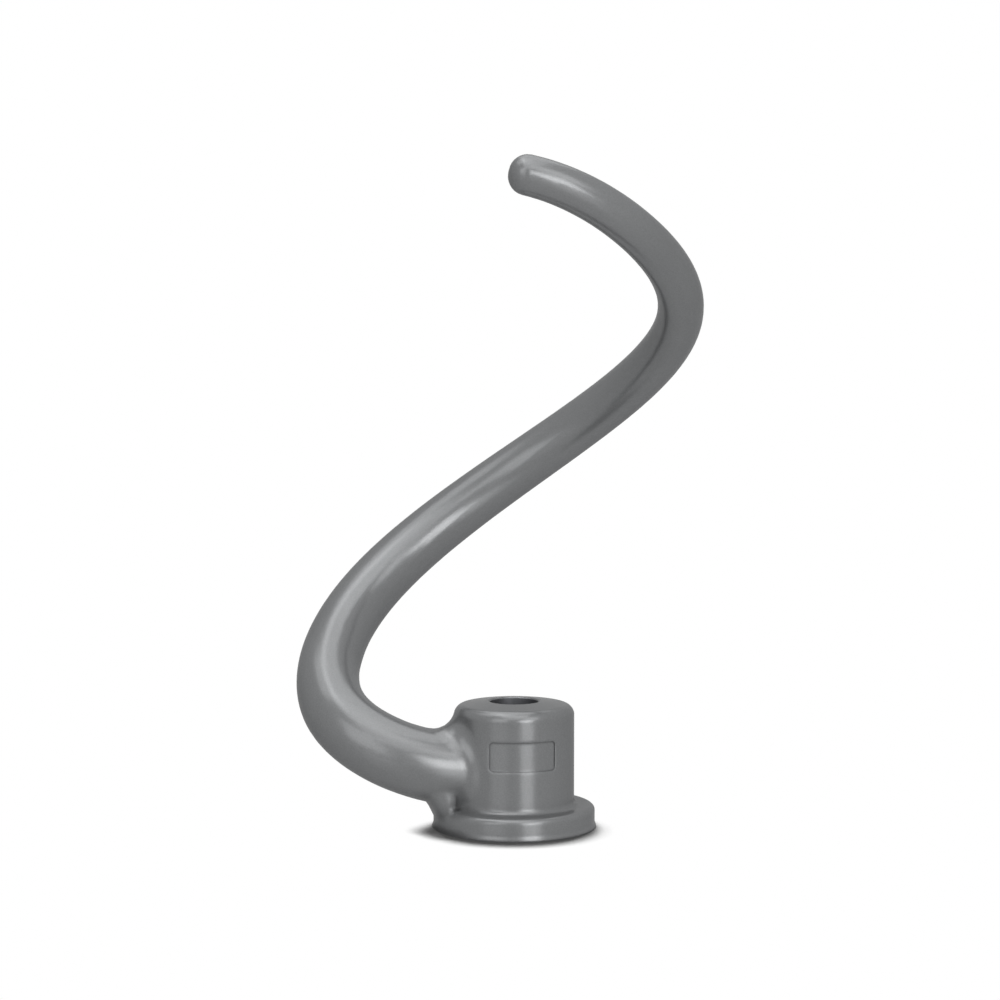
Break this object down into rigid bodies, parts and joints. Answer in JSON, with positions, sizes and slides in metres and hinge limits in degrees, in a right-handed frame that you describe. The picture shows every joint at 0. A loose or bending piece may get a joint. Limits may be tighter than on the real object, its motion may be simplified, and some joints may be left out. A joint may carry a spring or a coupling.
{
  "type": "mixer dough hook",
  "caption": "Spiral dough hook for a stand mixer: a bored, flanged hub with a tapered left-handed coiled arm and a rounded tip.",
  "frame": {"origin": "centre of the shaft bore on the flange's resting face", "axes": "+Z along the bore from the flange toward the arm's tip, -X the way the arm's root leaves the hub, -Y the side that carries the label pad"},
  "size_m": [0.1065, 0.1023, 0.1746],
  "materials": {
    "coated_casting": "satin"
  },
  "bodies": {
    "root": {"dough_hook": "coated_casting"}
  },
  "joints": []
}
